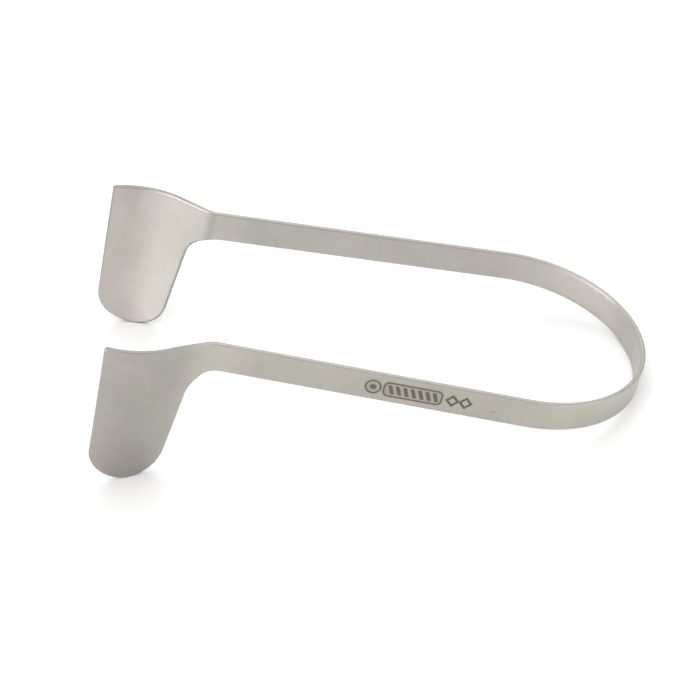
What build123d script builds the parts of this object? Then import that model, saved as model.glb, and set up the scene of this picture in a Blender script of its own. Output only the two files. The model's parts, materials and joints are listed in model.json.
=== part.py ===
from build123d import *
import os
from math import asin, atan2, cos, degrees, radians, sin, sqrt, tan

# Self-retaining cheek retractor: one flat strip of spring-temper stainless steel, bent into a
# U-shaped bow with two arms, each arm ending in a wide, downward spoon blade.
#
# Design frame, in which every zone is drawn: the strip stands on edge, its width along Z from 0
# to strip_width; the bow's apex is at x = 0 and the arms run towards -X; the right arm is on +Y.
# The finished model is then tilted onto its two blade tips and the crown's lower edge, the way
# it stands on a table, and centred over the origin.
#
# The steel is one piece. It is cut here where it flexes, so that each flex zone can turn about
# its own hinge axis, and at the neck, where the strip stops being a spring and becomes a blade.

# ---- strip
strip_width = 8.0
sheet_thickness = 1.2
edge_radius = 0.4

# ---- bow, radii to the middle of the sheet
crown_radius = 33.8
crown_half_angle = 12.0
shoulder_radius = 31.2

# ---- arms
arm_length = 77.3
arm_convergence = 2.7       # degrees that each arm leans inwards, from bow to blade
arm_hinge_from_bow = 30.5   # where the bending of the arm is centred

# ---- neck and blade in plan, radii to the middle of the sheet
neck_bend_angle = 30.8
neck_bend_radius = 7.0
neck_flat = 9.4
blade_curve_radius = 20.6

# ---- blade seen from the side: x forward of the arm's end, z below the arm's lower edge
neck_root = 5.4             # where the blade's rear edge would meet the arm's lower edge
neck_fillet = 7.9
neck_lead_margin = 0.6      # plain strip before the fillet that still belongs to the blade
rear_slant = 4.1            # how far the rear edge runs forward on its way down
blade_depth = 37.2          # to the sharp corner that the tip's arc rounds off
tip_rise = 6.5              # how much higher the front lower corner is than the rear one
tip_radius = 9.1
front_corner_radius = 8.0
blade_reach = 27.6          # to the front edge's upper corner
front_slant = 1.7           # how far the front edge leans back on its way down
top_slope_start = 10.9
top_drop = 1.35             # fall of the top edge towards the front corner

# ---- dish of the blade, in the plane across the arm
dish_radius = 227.0

# ---- flex hinges
hinge_clearance = 0.05      # between a zone's rounded end and the socket that it turns in

half_thickness = sheet_thickness / 2
quarter_turn = 90.0 + arm_convergence
bow_hinge_angle = quarter_turn / 2
neck_corner = 90.0 + degrees(atan2(rear_slant, blade_depth))
neck_fillet_reach = neck_fillet / tan(radians(neck_corner / 2))
neck_lead = max(neck_fillet_reach - neck_root, 0) + neck_lead_margin
outline_margin = 40.0       # spare length of the cutting shapes
front_margin = 1.0          # how far the blade's bend runs past the front edge before it is cut


def unit(heading):
    """The plan direction of a heading in degrees, counted from +X towards +Y."""
    return Vector(cos(radians(heading)), sin(radians(heading)), 0)


def run_line(start, heading, length):
    """A straight stretch of the strip's centreline: (edge, end point, end heading)."""
    end = start + unit(heading) * length
    return Line(start, end), end, heading


def run_arc(start, heading, radius, turn):
    """A bend of the centreline that turns by that many degrees, anticlockwise if positive."""
    side = 1 if turn > 0 else -1
    centre = start + unit(heading + 90 * side) * radius
    middle = centre - unit(heading + turn / 2 + 90 * side) * radius
    end = centre - unit(heading + turn + 90 * side) * radius
    return ThreePointArc(start, middle, end), end, heading + turn


def neck_length():
    """How far the neck's bend and flat carry the strip forward of the arm's end."""
    before = radians(180 + arm_convergence)
    after = radians(180 + arm_convergence - neck_bend_angle)
    return neck_bend_radius * (sin(after) - sin(before)) - neck_flat * cos(after)


def blade_curve_angle():
    """The turn that carries the blade's bend just past its front edge."""
    heading = 180 + arm_convergence - neck_bend_angle
    forward = blade_reach - neck_length() + front_margin
    return 180 - degrees(asin(sin(radians(heading)) - forward / blade_curve_radius)) - heading


def plan_stations():
    """The right half's centreline, from the apex past the blade's front edge, as named stretches."""
    runs = {}
    point, heading = Vector(0, 0, 0), 90.0
    shoulder_turn = quarter_turn - crown_half_angle
    before_hinge = bow_hinge_angle - crown_half_angle
    stretches = [
        ("crown", crown_radius, crown_half_angle),
        ("crown_side", shoulder_radius, before_hinge),
        ("shoulder", shoulder_radius, shoulder_turn - before_hinge),
        ("rear_arm", None, arm_hinge_from_bow),
        ("front_arm", None, arm_length - arm_hinge_from_bow - neck_lead),
        ("neck_lead", None, neck_lead),
        ("neck_bend", neck_bend_radius, -neck_bend_angle),
        ("neck_flat", None, neck_flat),
        ("blade_curve", blade_curve_radius, blade_curve_angle()),
    ]
    for name, radius, amount in stretches:
        start, start_heading = point, heading
        if radius is None:
            edge, point, heading = run_line(point, heading, amount)
        else:
            edge, point, heading = run_arc(point, heading, radius, amount)
        runs[name] = {
            "edge": edge,
            "start": start,
            "end": point,
            "start_heading": start_heading,
            "end_heading": heading,
        }
    return runs


def band(run):
    """The plan face of one stretch: its centreline thickened to the sheet's thickness."""
    sides = []
    for sign in (1, -1):
        first = run["start"] + unit(run["start_heading"] + 90) * half_thickness * sign
        last = run["end"] + unit(run["end_heading"] + 90) * half_thickness * sign
        turn = run["end_heading"] - run["start_heading"]
        if turn == 0:
            sides.append(Line(first, last))
        else:
            mid_heading = run["start_heading"] + turn / 2
            middle = run["edge"] @ 0.5 + unit(mid_heading + 90) * half_thickness * sign
            sides.append(ThreePointArc(first, middle, last))
    left, right = sides
    ends = [Line(left @ 1, right @ 1), Line(right @ 0, left @ 0)]
    return make_face([left, ends[0], right, ends[1]])


def strip(*runs):
    """The strip along these stretches, with square edges."""
    solids = [extrude(band(run), amount=strip_width) for run in runs]
    joined = solids[0]
    for solid in solids[1:]:
        joined = joined + solid
    return joined


def hinge_post(point, radius):
    """A round post across the strip's width, on a flex hinge's axis."""
    return Pos(point.X, point.Y, strip_width / 2) * Cylinder(radius, strip_width)


def long_edges(solid):
    """The edges along the strip's upper and lower rims, with those of its rounded ends."""
    rims = [e for e in solid.edges() if e.bounding_box().size.Z < edge_radius / 10]
    ends = [e for e in rims if e.length < sheet_thickness * 1.01 and e.geom_type == GeomType.LINE]
    return [e for e in rims if e not in ends]


def zone(runs, rounded_at=None, socket_at=()):
    """One zone of the strip. A rounded end turns in the next zone's socket, on the same axis."""
    solid = strip(*runs)
    if rounded_at is not None:
        solid = solid + hinge_post(rounded_at, half_thickness)
    solid = fillet(long_edges(solid), edge_radius)
    for point in socket_at:
        solid = solid - hinge_post(point, half_thickness + hinge_clearance)
    return solid.solid()


def blade_corners(runs):
    """The side outline's corners, as (x, z), from the arm's lower edge round to the top."""
    arm_end = runs["neck_lead"]["end"].X
    front = arm_end - blade_reach
    inside_arm = arm_end + outline_margin
    return {
        "arm_low": (inside_arm, 0),
        "root": (arm_end - neck_root, 0),
        "rear_low": (arm_end - neck_root - rear_slant, -blade_depth),
        "front_low": (front + front_slant, -blade_depth + tip_rise),
        "front_top": (front, strip_width - top_drop),
        "slope_start": (arm_end - top_slope_start, strip_width),
        "arm_top": (inside_arm, strip_width),
    }


def half_corner(before, at, after):
    """Half the angle, in radians, of the corner at a point between two others."""
    return radians((Vector(*before) - Vector(*at)).get_angle(Vector(*after) - Vector(*at))) / 2


def lower_radii(corner):
    """The radii of the tip and of the front corner, as large as the lower edge has room for."""
    order = ["root", "rear_low", "front_low", "front_top"]
    points = [corner[name] for name in order]
    room = (Vector(*points[2]) - Vector(*points[1])).length
    tip_reach = tip_radius / tan(half_corner(*points[:3]))
    front_reach = front_corner_radius / tan(half_corner(*points[1:]))
    share = min(1, (room - edge_radius) / (tip_reach + front_reach))
    return tip_radius * share, front_corner_radius * share


def blade_outline(runs):
    """The blade's side outline as a face in the XZ plane, reaching back over the arm."""
    corner = blade_corners(runs)
    tip, front = lower_radii(corner)
    outline = make_face(Polyline(*corner.values(), close=True))
    for name, radius in {"root": neck_fillet, "rear_low": tip, "front_low": front}.items():
        target = Vector(*corner[name])
        nearest = min(outline.vertices(), key=lambda v: (Vector(*v) - target).length)
        outline = fillet(nearest, radius)
    return Plane.XZ * outline


def blade(runs):
    """The right blade with its neck: the plan profile, dished below the arm and cut to outline."""
    plan = [band(runs[name]) for name in ("neck_lead", "neck_bend", "neck_flat", "blade_curve")]
    dish_axis_y = runs["neck_flat"]["end"].Y - dish_radius
    dish_axis = Axis((0, dish_axis_y, 0), (-1, 0, 0))
    dish_sweep = degrees(asin((blade_depth + strip_width) / dish_radius))
    sheet = None
    for face in plan:
        upper = extrude(face, amount=strip_width)
        lower = revolve(face, axis=dish_axis, revolution_arc=dish_sweep)
        piece = upper + lower
        sheet = piece if sheet is None else sheet + piece
    cutter = extrude(blade_outline(runs), amount=outline_margin * 2, both=True)
    solid = (sheet & cutter).solid()
    return fillet(rim_edges(solid), edge_radius)


def rim_edges(solid):
    """The edges between a blade's rim, which the outline cuts straight across, and its two sides."""
    start = solid.faces().sort_by(Axis.X)[-1]
    rim = [f for f in solid.faces() if abs(f.normal_at(f.center()).Y) < 1e-4 and f != start]
    sides = [f for f in solid.faces() if f not in rim and f != start]
    side_edges = {e for f in sides for e in f.edges()}
    return [e for f in rim for e in f.edges() if e in side_edges]


def tip_circle(runs):
    """Centre, as (x, z), and radius of the arc that rounds the blade's lowest corner."""
    corner = blade_corners(runs)
    radius = lower_radii(corner)[0]
    before, at, after = (Vector(*corner[n]) for n in ("root", "rear_low", "front_low"))
    middle = (before - at).normalized() + (after - at).normalized()
    return at + middle.normalized() * (radius / sin(half_corner(before, at, after))), radius


def rest_tilt(runs):
    """The angle, in degrees, at which the crown's lower edge and the blade tips share a plane."""
    tip, radius = tip_circle(runs)
    crown = Vector(half_thickness - edge_radius, edge_radius)
    span = crown - tip
    drop = asin((radius - edge_radius) / sqrt(span.X**2 + span.Y**2))
    return degrees(atan2(span.Y, span.X) + drop)


def design_nodes():
    """Every node in the design frame."""
    runs = plan_stations()
    bow_hinge, arm_hinge = runs["shoulder"]["start"], runs["front_arm"]["start"]
    half_crown = strip(runs["crown"], runs["crown_side"])
    crown = fillet(long_edges(half_crown + mirror(half_crown, about=Plane.XZ)), edge_radius)
    for y in (bow_hinge.Y, -bow_hinge.Y):
        socket = Vector(bow_hinge.X, y, 0)
        crown = crown - hinge_post(socket, half_thickness + hinge_clearance)
    right = {
        "bow_shoulder": zone([runs["shoulder"]], rounded_at=bow_hinge),
        "rear_arm": zone([runs["rear_arm"]], socket_at=[arm_hinge]),
        "front_arm": zone([runs["front_arm"]], rounded_at=arm_hinge),
        "blade": blade(runs),
    }
    nodes = {"bow_crown": crown.solid()}
    for name, solid in right.items():
        nodes[f"right_{name}"] = solid
        nodes[f"left_{name}"] = mirror(solid, about=Plane.XZ)
    return nodes


def resting_place(nodes, tilt):
    """The move from the design frame to the table: tilted, and centred over the origin."""
    tilted = Compound([Rot(0, tilt, 0) * solid for solid in nodes.values()])
    box = tilted.bounding_box()
    return Pos(-box.center().X, -box.center().Y, -box.min.Z) * Rot(0, tilt, 0)


def main():
    nodes = design_nodes()
    place = resting_place(nodes, rest_tilt(plan_stations()))
    os.makedirs("parts", exist_ok=True)
    for name, solid in nodes.items():
        export_step(place * solid, f"parts/{name}.step")
        print(name, round(solid.volume, 1), "mm3")


if __name__ == "__main__":
    main()
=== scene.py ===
import json
from math import asin, atan2, cos, log2, pi, radians, sin, tan

import bmesh
import bpy
from mathutils import Matrix, Vector


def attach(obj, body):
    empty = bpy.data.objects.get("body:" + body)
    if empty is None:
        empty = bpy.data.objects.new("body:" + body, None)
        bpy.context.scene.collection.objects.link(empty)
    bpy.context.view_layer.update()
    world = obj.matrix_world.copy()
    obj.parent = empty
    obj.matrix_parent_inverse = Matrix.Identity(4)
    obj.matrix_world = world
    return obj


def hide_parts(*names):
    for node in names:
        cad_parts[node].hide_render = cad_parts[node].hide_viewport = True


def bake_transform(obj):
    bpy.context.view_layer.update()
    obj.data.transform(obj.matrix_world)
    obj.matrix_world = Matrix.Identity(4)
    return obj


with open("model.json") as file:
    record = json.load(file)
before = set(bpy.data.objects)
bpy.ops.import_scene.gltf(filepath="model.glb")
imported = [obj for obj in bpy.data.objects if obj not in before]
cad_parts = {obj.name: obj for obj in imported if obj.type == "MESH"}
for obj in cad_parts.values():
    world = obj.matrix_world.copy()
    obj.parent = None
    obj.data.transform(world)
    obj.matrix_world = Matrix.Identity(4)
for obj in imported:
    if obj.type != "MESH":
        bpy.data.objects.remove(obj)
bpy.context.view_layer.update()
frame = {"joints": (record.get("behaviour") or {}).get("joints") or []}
mm = 0.001

# Every piece is drawn on the bench: the strip stands on its edge, the bow's apex is at the origin,
# the arms run towards -X and the right arm is on +Y. settle() then lays it on its table.

# One bent strip of spring steel, all sizes in metres and degrees.
strip = {
    "width": 8.0 * mm,
    "thickness": 1.2 * mm,
    "edgeRadius": 0.4 * mm,
    "edgeSegments": 4,
    "widthCuts": 7,
    "smoothUpTo": 40,
}
bow = {
    "crownRadius": 33.8 * mm,
    "crownTurn": 12.0,
    "shoulderRadius": 31.2 * mm,
    "armConvergence": 2.7,
    "stepTurn": 0.75,
}
arm = {"length": 77.3 * mm, "neckLead": 2.28 * mm, "step": 0.8 * mm}
upright = Vector((0, 0, 1))


def unit(heading):
    return Vector((cos(radians(heading)), sin(radians(heading)), 0))


# The centre is on the left of the heading for a left turn, which is above zero.
def arcCentre(point, heading, radius, turn):
    return point + unit(heading + (90 if turn > 0 else -90)) * radius


def arcEnd(point, heading, radius, turn):
    side = 90 if turn > 0 else -90
    return arcCentre(point, heading, radius, turn) - unit(heading + turn + side) * radius


# The right half of the strip's centre line, from the apex to the end of the arm.
apex = Vector((0, 0, 0))
shoulderTurn = 90 + bow["armConvergence"] - bow["crownTurn"]
crownEnd = arcEnd(apex, 90, bow["crownRadius"], bow["crownTurn"])
armHeading = 180 + bow["armConvergence"]
armStart = arcEnd(crownEnd, 90 + bow["crownTurn"], bow["shoulderRadius"], shoulderTurn)
leadStart = armStart + unit(armHeading) * (arm["length"] - arm["neckLead"])
armEnd = armStart + unit(armHeading) * arm["length"]

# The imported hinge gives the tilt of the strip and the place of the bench's origin.
# It stands halfway round the bow's half, at mid width.
bowHinge = next(j for j in frame["joints"] if j["name"] == "right_bow_flex")
hingeTurn = (90 + bow["armConvergence"]) / 2 - bow["crownTurn"]
hingeFoot = arcEnd(crownEnd, 90 + bow["crownTurn"], bow["shoulderRadius"], hingeTurn)
hingeOnBench = hingeFoot + upright * strip["width"] / 2
restTilt = Matrix.Rotation(atan2(bowHinge["axis"][0], bowHinge["axis"][2]), 4, "Y")
toTable = Matrix.Translation(Vector(bowHinge["pos_m"]) - restTilt @ hingeOnBench) @ restTilt


def onTable(point, height=0.5):
    return toTable @ (point + upright * strip["width"] * height)


# Working in edit mode.
def pickObject(piece):
    bpy.ops.object.select_all(action="DESELECT")
    piece.select_set(True)
    bpy.context.view_layer.objects.active = piece


def startEdit(piece, mode="EDGE"):
    pickObject(piece)
    bpy.ops.object.mode_set(mode="EDIT")
    bpy.ops.mesh.select_mode(type=mode)
    bpy.ops.mesh.select_all(action="DESELECT")


def endEdit():
    bpy.ops.object.mode_set(mode="OBJECT")


# Selects what passes the test, in the mesh being edited.
def pick(kind, test):
    bpy.ops.mesh.select_mode(type={"verts": "VERT", "edges": "EDGE", "faces": "FACE"}[kind])
    bpy.ops.mesh.select_all(action="DESELECT")
    piece = bpy.context.active_object
    mesh = bmesh.from_edit_mesh(piece.data)
    found = [part for part in getattr(mesh, kind) if test(part)]
    for part in found:
        part.select_set(True)
    mesh.select_flush_mode()
    bmesh.update_edit_mesh(piece.data)
    return len(found)


def middle(part):
    return sum((v.co for v in part.verts), Vector()) / len(part.verts)


# Spin turns clockwise about its axis, so a left turn is made about the axis pointing down.
def spinRound(centre, turn, stepTurn, axis=(0, 0, -1)):
    steps = max(2, round(abs(turn) / stepTurn))
    bpy.ops.mesh.spin(steps=steps, angle=radians(turn), center=centre, axis=axis)


# A slice of the strip, square to its heading, with rounded corners.
def stripSlice(name, point, heading):
    bpy.ops.mesh.primitive_plane_add(
        size=1,
        location=point + upright * strip["width"] / 2,
        rotation=(pi / 2, 0, radians(heading - 90)),
    )
    piece = bpy.context.active_object
    piece.name = name
    piece.scale = (strip["thickness"], strip["width"], 1)
    pickObject(piece)
    bpy.ops.object.transform_apply(location=True, rotation=True, scale=True)
    startEdit(piece, "VERT")
    bpy.ops.mesh.select_all(action="SELECT")
    bpy.ops.mesh.bevel(
        offset=strip["edgeRadius"],
        segments=strip["edgeSegments"],
        profile=0.5,
        affect="VERTICES",
    )
    pick("edges", lambda e: e.calc_length() > strip["width"] / 2)
    bpy.ops.mesh.subdivide(number_cuts=strip["widthCuts"])
    bpy.ops.mesh.select_mode(type="FACE")
    bpy.ops.mesh.select_all(action="SELECT")
    return piece


def outwardNormals(piece):
    startEdit(piece, "FACE")
    bpy.ops.mesh.select_all(action="SELECT")
    bpy.ops.mesh.remove_doubles(threshold=0.001 * mm)
    bpy.ops.mesh.normals_make_consistent(inside=False)
    endEdit()


# The strip's own coordinates of every point, in millimetres: how far along from the apex,
# how far out of the middle of the sheet, and how high across the width.
def storeStripPlace(piece, alongAndOut):
    places = []
    for vertex in piece.data.vertices:
        along, out = alongAndOut(vertex.co)
        places += [along / mm, out / mm, vertex.co.z / mm]
    layer = piece.data.attributes.new("stripPlace", "FLOAT_VECTOR", "POINT")
    layer.data.foreach_set("vector", places)


def settle(piece):
    piece.data.transform(toTable)
    pickObject(piece)
    bpy.ops.object.shade_smooth_by_angle(angle=radians(strip["smoothUpTo"]))


def mirrored(piece, name):
    copy = piece.copy()
    copy.data = piece.data.copy()
    copy.name = copy.data.name = name
    bpy.context.collection.objects.link(copy)
    copy.scale = (1, -1, 1)
    pickObject(copy)
    bpy.ops.object.transform_apply(location=True, rotation=True, scale=True)
    for place in copy.data.attributes["stripPlace"].data:
        place.vector.x *= -1  # the left half runs the other way from the apex
    outwardNormals(copy)
    return copy


# The bow: one half, from the apex to where the arm begins.
def makeBow():
    piece = stripSlice("right_bow_spring", apex, 90)
    spinRound(
        arcCentre(apex, 90, bow["crownRadius"], 1), bow["crownTurn"], bow["stepTurn"]
    )
    spinRound(
        arcCentre(crownEnd, 90 + bow["crownTurn"], bow["shoulderRadius"], 1),
        shoulderTurn,
        bow["stepTurn"],
    )
    endEdit()
    outwardNormals(piece)
    shoulderCentre = arcCentre(crownEnd, 90 + bow["crownTurn"], bow["shoulderRadius"], 1)
    crownCentre = arcCentre(apex, 90, bow["crownRadius"], 1)

    def place(co):
        spoke = Vector((co.x, co.y, 0)) - shoulderCentre
        turn = atan2(spoke.y, spoke.x)
        if turn < radians(bow["crownTurn"]):
            spoke = Vector((co.x, co.y, 0)) - crownCentre
            turn = atan2(spoke.y, spoke.x)
            return bow["crownRadius"] * turn, spoke.length - bow["crownRadius"]
        along = (bow["crownRadius"] - bow["shoulderRadius"]) * radians(bow["crownTurn"])
        return along + bow["shoulderRadius"] * turn, spoke.length - bow["shoulderRadius"]

    storeStripPlace(piece, place)
    return piece


bowLength = (
    bow["crownRadius"] * radians(bow["crownTurn"])
    + bow["shoulderRadius"] * radians(shoulderTurn)
)


def armPlace(co):
    run = Vector((co.x, co.y, 0)) - armStart
    return bowLength + run.dot(unit(armHeading)), run.dot(unit(armHeading - 90))


# The arm: straight, from the bow to the neck.
def makeArm():
    piece = stripSlice("right_spring_arm", armStart, armHeading)
    run = leadStart - armStart
    bpy.ops.mesh.extrude_region_move(TRANSFORM_OT_translate={"value": run})
    pick("edges", lambda e: e.calc_length() > run.length * 0.9)
    bpy.ops.mesh.subdivide(number_cuts=round(run.length / arm["step"]))
    endEdit()
    outwardNormals(piece)
    storeStripPlace(piece, armPlace)
    return piece


rightBow = makeBow()
leftBow = mirrored(rightBow, "left_bow_spring")
print("bow halves:", len(rightBow.data.polygons), "faces each")
rightArm = makeArm()
leftArm = mirrored(rightArm, "left_spring_arm")
print("arms:", len(rightArm.data.polygons), "faces each")

# The blade: a flat blank, bent at the neck, curled and dished.
blade = {
    "neckTurn": 30.8,
    "neckRadius": 7.0 * mm,
    "neckFlat": 9.4 * mm,
    "curlRadius": 20.6 * mm,
    "curlTurn": 46.0,
    "neckRoot": 5.4 * mm,
    "neckFillet": 7.9 * mm,
    "rearSlant": 4.1 * mm,
    "depth": 37.2 * mm,
    "tipRise": 6.5 * mm,
    "tipRadius": 9.1 * mm,
    "frontRadius": 8.0 * mm,
    "reach": 27.6 * mm,
    "frontSlant": 1.7 * mm,
    "slopeStart": 10.9 * mm,
    "topDrop": 1.35 * mm,
    "topCornerRadius": 0.8 * mm,
    "dishRadius": 227.0 * mm,
    "rimRing": 0.6 * mm,
    "gridStep": 1.0 * mm,
    "gridTop": 2.4 * mm,
    "neckStep": 0.5 * mm,
    "neckGrid": 5.5 * mm,
    "mergeWithin": 0.12 * mm,
    "formerSpare": 1.5 * mm,
    "formerHeight": 10 * mm,
    "formerStep": 0.5,
    "dishTurn": 11.5,
    "dishStep": 0.25,
}


# Bevel's profile that comes nearest to a round corner of that half angle.
def roundProfile(halfAngle):
    gap = (1 / sin(halfAngle) - 1) * tan(halfAngle) / (2 * cos(halfAngle))
    return 4 ** log2(1 - gap)


def roundCorner(before, corner, after, radius):
    halfAngle = (before - corner).angle(after - corner) / 2
    pick("verts", lambda v: (v.co - corner).length < 0.01 * mm)
    bpy.ops.mesh.bevel(
        offset=radius / tan(halfAngle),
        segments=max(4, round(radius / mm * 2.4)),
        profile=roundProfile(halfAngle),
        affect="VERTICES",
    )


def bisect(point, normal, clear=False):
    bpy.ops.mesh.bisect(
        plane_co=point,
        plane_no=Vector(normal).normalized(),
        clear_outer=clear,
        threshold=0.0005 * mm,
    )


def makeBlank():
    front = armEnd.x - blade["reach"]
    low = -blade["depth"]
    corner = {
        "root": Vector((armEnd.x - blade["neckRoot"], 0, 0)),
        "rearLow": Vector((armEnd.x - blade["neckRoot"] - blade["rearSlant"], 0, low)),
        "frontLow": Vector((front + blade["frontSlant"], 0, low + blade["tipRise"])),
        "frontTop": Vector((front, 0, strip["width"] - blade["topDrop"])),
        "slope": Vector((armEnd.x - blade["slopeStart"], 0, strip["width"])),
    }
    bpy.ops.mesh.primitive_plane_add(
        size=1,
        location=((front + leadStart.x) / 2, 0, strip["width"] / 2),
        rotation=(pi / 2, 0, 0),
    )
    blank = bpy.context.active_object
    blank.name = "right_spoon_blade"
    blank.scale = (leadStart.x - front, strip["width"], 1)
    pickObject(blank)
    bpy.ops.object.transform_apply(location=True, rotation=True, scale=True)
    startEdit(blank)
    bpy.ops.mesh.select_all(action="SELECT")
    bisect(corner["root"], (1, 0, 0))
    pick("edges", lambda e: middle(e).z < 0.1 * mm and middle(e).x < corner["root"].x)
    bpy.ops.mesh.extrude_edges_move(TRANSFORM_OT_translate={"value": (0, 0, 1.2 * low)})
    # Each edge of the outline trims the blank, the lower ones only below the arm.
    for first, last, onlyLow in (
        ("root", "rearLow", True),
        ("rearLow", "frontLow", True),
        ("frontLow", "frontTop", False),
        ("frontTop", "slope", False),
    ):
        pick("faces", lambda f: middle(f).z < 0 or not onlyLow)
        run = corner[last] - corner[first]
        bisect(corner[first], (-run.z, 0, run.x), clear=True)
    bpy.ops.mesh.select_all(action="SELECT")
    bpy.ops.mesh.dissolve_limited(angle_limit=radians(0.5))
    start = Vector((leadStart.x, 0, 0))
    roundCorner(start, corner["root"], corner["rearLow"], blade["neckFillet"])
    roundCorner(corner["root"], corner["rearLow"], corner["frontLow"], blade["tipRadius"])
    roundCorner(corner["rearLow"], corner["frontLow"], corner["frontTop"], blade["frontRadius"])
    roundCorner(corner["frontLow"], corner["frontTop"], corner["slope"], blade["topCornerRadius"])
    pick("faces", lambda f: True)
    bpy.ops.mesh.inset(thickness=blade["rimRing"], use_even_offset=True)
    x = leadStart.x - 0.4 * mm
    while x > front:
        bpy.ops.mesh.select_all(action="SELECT")
        bisect((x, 0, 0), (1, 0, 0))
        inNeck = x > armEnd.x - blade["neckGrid"]
        x -= blade["neckStep"] if inNeck else blade["gridStep"]
    z = strip["width"] - blade["gridTop"]
    while z > low:
        bpy.ops.mesh.select_all(action="SELECT")
        bisect((0, 0, z), (0, 0, 1))
        z -= blade["gridStep"]
    bpy.ops.mesh.select_all(action="SELECT")
    bpy.ops.mesh.remove_doubles(threshold=blade["mergeWithin"])
    endEdit()
    return blank


# The middle of the bent sheet: the plan line drawn out upwards, and swung down about the dish's axis.
def makeFormer():
    spare = blade["formerSpare"]
    point = leadStart - unit(armHeading) * spare
    bpy.ops.mesh.primitive_plane_add(size=mm, location=point)
    former = bpy.context.active_object
    pickObject(former)
    bpy.ops.object.transform_apply(location=True, rotation=True, scale=True)
    startEdit(former, "VERT")
    bpy.ops.mesh.select_all(action="SELECT")
    bpy.ops.mesh.merge(type="CENTER")
    bpy.ops.mesh.select_all(action="SELECT")
    lead = unit(armHeading) * (arm["neckLead"] + spare)
    bpy.ops.mesh.extrude_region_move(TRANSFORM_OT_translate={"value": lead})
    turn, radius = blade["neckTurn"], blade["neckRadius"]
    spinRound(arcCentre(armEnd, armHeading, radius, -1), turn, blade["formerStep"], axis=(0, 0, 1))
    flatStart = arcEnd(armEnd, armHeading, radius, -turn)
    flat = unit(armHeading - turn) * blade["neckFlat"]
    bpy.ops.mesh.extrude_region_move(TRANSFORM_OT_translate={"value": flat})
    curlStart = flatStart + flat
    centre = arcCentre(curlStart, armHeading - turn, blade["curlRadius"], 1)
    spinRound(centre, blade["curlTurn"], blade["formerStep"])
    bpy.ops.mesh.select_all(action="SELECT")
    rise = upright * blade["formerHeight"]
    bpy.ops.mesh.extrude_region_move(TRANSFORM_OT_translate={"value": rise})
    pick("verts", lambda v: v.co.z < 0.001 * mm)
    axisPoint = (0, curlStart.y - blade["dishRadius"], 0)
    spinRound(axisPoint, blade["dishTurn"], blade["dishStep"], axis=(1, 0, 0))
    endEdit()
    return former


def makeBlade():
    blank, former = makeBlank(), makeFormer()
    pickObject(blank)
    bend = blank.modifiers.new("bend", "SHRINKWRAP")
    bend.target = former
    bend.wrap_method = "PROJECT"
    bend.use_project_y = True
    bend.use_negative_direction = True
    bend.use_positive_direction = True
    bpy.ops.object.modifier_apply(modifier="bend")
    wall = blank.modifiers.new("wall", "SOLIDIFY")
    wall.thickness = strip["thickness"]
    wall.offset = 0
    wall.use_even_offset = True
    wall.use_quality_normals = True
    bpy.ops.object.modifier_apply(modifier="wall")
    startEdit(blank)
    atStart = leadStart.x - 0.1 * mm

    def onRim(edge):
        turned = len(edge.link_faces) == 2 and edge.calc_face_angle() > radians(60)
        return turned and not all(v.co.x > atStart for v in edge.verts)

    pick("edges", onRim)
    bpy.ops.mesh.bevel(
        offset=strip["edgeRadius"],
        segments=strip["edgeSegments"],
        profile=0.5,
        affect="EDGES",
        clamp_overlap=False,
    )
    endEdit()
    outwardNormals(blank)

    def place(co):
        found, nearest, normal, index = former.closest_point_on_mesh(co)
        out = (co - nearest).dot(normal if normal.y > 0 else -normal)
        return bowLength + arm["length"] + (armEnd.x - co.x) * 1.05, out

    storeStripPlace(blank, place)
    bpy.data.objects.remove(former)
    return blank


rightBlade = makeBlade()
leftBlade = mirrored(rightBlade, "left_spoon_blade")
print("blades:", len(rightBlade.data.polygons), "faces each")


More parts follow.
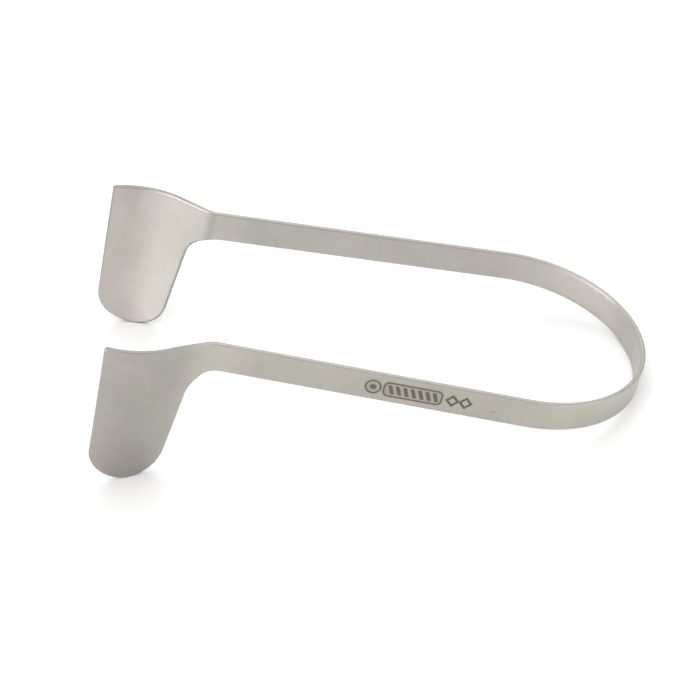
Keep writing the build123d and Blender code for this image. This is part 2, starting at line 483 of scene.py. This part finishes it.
# The satin steel.
# A socket that Python's arithmetic works on: each operation adds its Math node.
class Wire:
    def __init__(self, material, socket=None):
        self.material, self.socket = material, socket

    def add(self, kind, settings=None, inputs=None, output=0):
        tree = self.material.node_tree
        node = tree.nodes.new(kind)
        for name, value in (settings or {}).items():
            setattr(node, name, value)
        for name, value in (inputs or {}).items():
            if isinstance(value, Wire):
                tree.links.new(value.socket, node.inputs[name])
            else:
                node.inputs[name].default_value = value
        return Wire(self.material, node.outputs[output])

    def math(self, operation, first, second=0.0, third=0.0):
        inputs = {0: first, 1: second, 2: third}
        return self.add("ShaderNodeMath", {"operation": operation}, inputs)

    def __add__(self, other):
        return self.math("ADD", self, other)

    def __radd__(self, other):
        return self.math("ADD", other, self)

    def __sub__(self, other):
        return self.math("SUBTRACT", self, other)

    def __rsub__(self, other):
        return self.math("SUBTRACT", other, self)

    def __mul__(self, other):
        return self.math("MULTIPLY", self, other)

    def __rmul__(self, other):
        return self.math("MULTIPLY", other, self)

    def __truediv__(self, other):
        return self.math("DIVIDE", self, other)

    def __neg__(self):
        return self.math("MULTIPLY", self, -1.0)

    def __abs__(self):
        return self.math("ABSOLUTE", self)

    def higher(self, other):
        return self.math("MAXIMUM", self, other)

    def lower(self, other):
        return self.math("MINIMUM", self, other)

    def hypot(self, other):
        return self.math("SQRT", self * self + other * other)

    def fraction(self):
        return self.math("FRACT", self)

    # 0 below start, 1 above end, smooth between.
    def fade(self, start, end):
        inputs = {"Value": self, "From Min": start, "From Max": end}
        settings = {"interpolation_type": "SMOOTHSTEP"}
        return self.add("ShaderNodeMapRange", settings, inputs)

    def mix(self, below, above):
        settings = {"data_type": "RGBA"}
        return self.add("ShaderNodeMix", settings, {0: self, 6: below, 7: above}, output=2)

    def tinted(self, tint):
        settings = {"operation": "MULTIPLY"}
        return self.add("ShaderNodeVectorMath", settings, {0: self, 1: tint})

    def scaled(self, amount):
        settings = {"operation": "SCALE"}
        return self.add("ShaderNodeVectorMath", settings, {0: self, "Scale": amount})

    def noise(self, place, scale, detail=2.0, roughness=0.5):
        inputs = {"Vector": place, "Scale": scale, "Detail": detail, "Roughness": roughness}
        return self.add("ShaderNodeTexNoise", {}, inputs)


# Colours, tone steps and side tints along the strip that are painted light and shade, and how finely
# the mottling runs, per millimetre.
steel = {
    "light": (0.460, 0.434, 0.395, 1),
    "deep": (0.423, 0.399, 0.362, 1),
    "rosy": (1.014, 0.997, 0.992, 1),
    "green": (0.985, 1.005, 0.978, 1),
    # Painted reflection tints: the inner faces a touch bluer, the outer faces a touch greener.
    "innerPaintedTint": (1.002, 1.0, 1.03, 1),
    "outerPaintedTint": (0.985, 1.0, 0.985, 1),
    # Painted light and shade: brightness steps for the bow, arms, neck and blades, in place of light
    # the lamps don't give.
    "bowPaintedLight": 0.05,
    "armDrop": 0.11,
    "neckPaintedLight": 0.10,
    "bladePaintedShade": 0.07,
    "bladeSidesPaintedLight": 0.14,
    # Painted shade: the rounded edges are coloured darker, the blades' edges darker still, to dull
    # their highlights.
    "rim": (0.38, 0.364, 0.334, 1),
    "bladeRimPaintedShade": (0.285, 0.275, 0.255, 1),
    "roughness": 0.33,
    "rimRoughness": 0.55,
    "cloudScale": 0.09,
    "driftScale": 0.06,
    "blotchScale": 0.45,
    "grainScale": 5.5,
    "waveScale": 0.7,
    "brushStretch": (0.12, 1.0, 4.0),
}
# The etched mark, in millimetres along the arm from its end nearer the blade, and up the width:
# a ring with a dot, a long rounded frame full of slanted bars, two diamonds, and a scuff beside.
mark = {
    "start": 91.7,
    "height": 3.95,
    "stroke": 0.52,
    "soft": 0.2,
    "ring": (2.0, 1.85),
    "dotShare": 0.45,
    "frame": (11.9, 7.2, 1.95, 1.2),
    "frameGap": 0.62,
    "barPitch": 1.85,
    "barShare": 0.30,
    "barSlant": 0.4,
    "diamonds": (21.8, 25.1),
    "diamondHalf": 1.4,
    "diamondStroke": 0.468,
    "ink": (0.12, 0.104, 0.08, 1),
    "smudge": 0.22,
    "wearScale": 2.2,
    "scuff": (32.4, 2.9, 1.3),
    "scuffSlant": 0.35,
}
half = strip["thickness"] / 2 / mm
neckMiddle = (bowLength + arm["length"]) / mm + 2.0


# How much ink there is at a point: 0 is bare steel.
def markInk(start, along, out, up):
    u, v = mark["start"] - along, up - mark["height"]
    stroke, soft = mark["stroke"] / 2, mark["soft"]

    def drawn(distance):
        return (-distance).fade(-soft, soft)

    centre, radius = mark["ring"]
    toRing = (u - centre).hypot(v)
    ink = drawn(abs(toRing - radius) - stroke).higher(drawn(toRing - radius * mark["dotShare"]))
    centre, halfLong, halfHigh, corner = mark["frame"]
    x = abs(u - centre) - (halfLong - corner)
    y = abs(v) - (halfHigh - corner)
    frameEdge = x.higher(0.0).hypot(y.higher(0.0)) + x.higher(y).lower(0.0) - corner
    ink = ink.higher(drawn(abs(frameEdge) - stroke))
    phase = ((u + mark["barSlant"] * v) / mark["barPitch"]).fraction()
    bars = drawn((abs(phase - 0.5) - mark["barShare"]) * mark["barPitch"])
    ink = ink.higher(bars * drawn(frameEdge + mark["frameGap"]))
    for centre in mark["diamonds"]:
        diamond = abs(u - centre) + abs(v) - mark["diamondHalf"]
        ink = ink.higher(drawn(abs(diamond) - mark["diamondStroke"]))
    wear = start.noise(start.add("ShaderNodeCombineXYZ", {}, {0: u, 1: v}), mark["wearScale"])
    smudge = (-(frameEdge.lower(toRing - radius))).fade(-0.8, 0.3) * mark["smudge"]
    ink = (ink * (0.7 + 0.5 * wear)).higher(smudge)
    centre, height, reach = mark["scuff"]
    u, v = u - centre, up - height
    scuff = (-(abs(v - mark["scuffSlant"] * u) + abs(u) * 0.12)).fade(-0.35, -0.05)
    scuff = scuff * (-abs(u)).fade(-reach, -reach * 0.3) * 0.45
    return ink.higher(scuff) * out.fade(0.45, 0.55)


def satinSteel(name, marked=False):
    material = bpy.data.materials.new(name)
    material.use_nodes = True
    tree = material.node_tree
    shader = tree.nodes["Principled BSDF"]
    shader.inputs["Metallic"].default_value = 1.0
    start = Wire(material)
    place = start.add("ShaderNodeAttribute", {"attribute_name": "stripPlace"}, output=1)
    along = abs(start.add("ShaderNodeSeparateXYZ", {}, {0: place}, output=0))
    out = start.add("ShaderNodeSeparateXYZ", {}, {0: place}, output=1)
    up = start.add("ShaderNodeSeparateXYZ", {}, {0: place}, output=2)
    clouds = start.noise(place, steel["cloudScale"], 3.0)
    blotches = start.noise(place, steel["blotchScale"], 2.0)
    grain = start.noise(place, steel["grainScale"], 2.0, 0.6)
    drift = start.noise(place, steel["driftScale"], 1.0)
    inputs = {"Vector": place, "Scale": steel["brushStretch"]}
    brushing = start.noise(start.add("ShaderNodeMapping", {}, inputs), 1.0, 3.0, 0.6)
    rim = (1 - abs(out) / half).fade(0.0, 0.22)
    # Painted light and shade: the blades a little lighter inside and darker outside, the arms darker
    # than the bow, the neck lighter and the blades darker overall.
    onBlade = along.fade(neckMiddle, neckMiddle + 9.0)
    paintedLightScale = (-out).fade(-0.3, 0.3) * 2 - 1
    paintedLightScale = paintedLightScale * onBlade * steel["bladeSidesPaintedLight"] + 1
    paintedZoneLight = 1 + steel["bowPaintedLight"] - steel["armDrop"] * along.fade(40.0, 60.0)
    paintedZoneLight = paintedZoneLight + steel["neckPaintedLight"] * along.fade(neckMiddle - 14.0, neckMiddle - 4.0)
    paintedLightScale = paintedLightScale * (paintedZoneLight - steel["bladePaintedShade"] * onBlade)
    tone = (0.6 * clouds + 0.4 * blotches).fade(0.3, 0.7)
    colour = tone.mix(steel["deep"], steel["light"])
    colour = colour.tinted(drift.fade(0.35, 0.65).mix(steel["green"], steel["rosy"]))
    # Painted reflection tint: inner and outer faces are tinted apart, less so on the blades.
    outerSide = out.fade(-0.3, 0.3) * (1 - 0.75 * onBlade)
    colour = colour.tinted(outerSide.mix(steel["innerPaintedTint"], steel["outerPaintedTint"]))
    # The painted light and shade scales the steel's colour here.
    colour = colour.scaled(paintedLightScale)
    # Painted shade on the rounded edges: a darker colour there, darker still on the blades.
    colour = (rim * 0.9).mix(colour, onBlade.mix(steel["rim"], steel["bladeRimPaintedShade"]))
    roughness = steel["roughness"] + 0.07 * (blotches - 0.5) + 0.05 * (grain - 0.5)
    roughness = roughness - rim * (steel["roughness"] - steel["rimRoughness"])
    # Heights in millimetres: the blasted grain, faint brushing, hand work, and a wavy rim.
    height = grain * 0.0035 + brushing * 0.0015 + blotches * 0.008
    height = height + rim * start.noise(place, steel["waveScale"], 1.0) * 0.03
    if marked:
        ink = markInk(start, along, out, up)
        colour = (ink * 0.95).mix(colour, mark["ink"])
        roughness = roughness + ink * 0.15
        height = height - ink * 0.012
    inputs = {"Height": height, "Strength": 1.0, "Distance": mm}
    bump = start.add("ShaderNodeBump", {}, inputs)
    tree.links.new(colour.socket, shader.inputs["Base Color"])
    tree.links.new(roughness.socket, shader.inputs["Roughness"])
    tree.links.new(bump.socket, shader.inputs["Normal"])
    return material


plainSteel = satinSteel("satin_steel")
markedSteel = satinSteel("satin_steel_marked", marked=True)
print("materials made")

for piece in (rightBow, leftBow, rightArm, leftArm, rightBlade, leftBlade):
    piece.data.materials.clear()
    piece.data.materials.append(markedSteel if piece == leftArm else plainSteel)
    settle(piece)

for side, sign, bowPiece, armPiece, bladePiece in (
    ("right", 1, rightBow, rightArm, rightBlade),
    ("left", -1, leftBow, leftArm, leftBlade),
):
    ends = [onTable(Vector((p.x, sign * p.y, 0))) for p in (apex, armStart, leadStart)]
    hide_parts("bow_crown", f"{side}_bow_shoulder")
    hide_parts(f"{side}_rear_arm", f"{side}_front_arm")
    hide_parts(f"{side}_blade")
    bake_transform(bowPiece)
    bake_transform(armPiece)
    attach(bladePiece, f"{side}_arm")
print("pieces placed on their bodies")

# The floor, the lights and the camera.
studio = {
    "floorSize": 8.0,
    "floorColour": (0.82, 0.82, 0.82, 1),
    "world": 0.56,
    "aim": (-5.0 * mm, -5.6 * mm, 15.0 * mm),
    "lamps": {
        "left_box": {"place": (-0.9, -0.5, 0.15), "size": (1.2, 0.3), "radiance": 5.0},
        "right_box": {"place": (1.5, -0.5, 0.4), "size": (1.2, 0.8), "radiance": 2.9},
        "top_box": {"place": (0.0, -0.25, 1.5), "size": (2.4, 2.4), "radiance": 1.35},
        "back_box": {"place": (0.1, 1.15, 1.15), "size": (1.9, 0.9), "radiance": 2.0},
    },
}
bpy.ops.mesh.primitive_plane_add(size=studio["floorSize"], location=(0, 0, 0))
floor = bpy.context.active_object
floor.name = "floor"
paint = bpy.data.materials.new("floor_paint")
paint.use_nodes = True
matt = paint.node_tree.nodes["Principled BSDF"].inputs
matt["Base Color"].default_value = studio["floorColour"]
matt["Roughness"].default_value = 1.0
matt["Specular IOR Level"].default_value = 0.0
floor.data.materials.append(paint)

world = bpy.data.worlds.new("studio")
bpy.context.scene.world = world
world.use_nodes = True
sky = world.node_tree.nodes["Background"].inputs
sky["Color"].default_value = (1, 1, 1, 1)
sky["Strength"].default_value = studio["world"]
aim = Vector(studio["aim"])
for name, lamp in studio["lamps"].items():
    bpy.ops.object.light_add(type="AREA", location=lamp["place"])
    light = bpy.context.active_object
    light.name = name
    light.data.shape = "RECTANGLE"
    light.data.size, light.data.size_y = lamp["size"]
    light.data.energy = lamp["radiance"] * pi * lamp["size"][0] * lamp["size"][1]
    light.rotation_euler = (aim - light.location).to_track_quat("-Z", "Y").to_euler()

view = {
    "azimuth": -0.84,
    "elevation": 36.79,
    "roll": -2.6,
    "distance": 664.3 * mm,
    "lens": 135.51,
}
azimuth, elevation = radians(view["azimuth"]), radians(view["elevation"])
back = Vector((sin(azimuth) * cos(elevation), -cos(azimuth) * cos(elevation), sin(elevation)))
bpy.ops.object.camera_add(location=aim + back * view["distance"])
camera = bpy.context.active_object
facing = (-back).to_track_quat("-Z", "Y").to_matrix().to_4x4()
facing = facing @ Matrix.Rotation(radians(view["roll"]), 4, "Z")
camera.rotation_euler = facing.to_euler()
camera.data.lens = view["lens"]
camera.data.clip_start = 0.01
bpy.context.scene.camera = camera
bpy.context.scene.view_settings.view_transform = "Standard"
print("studio ready")
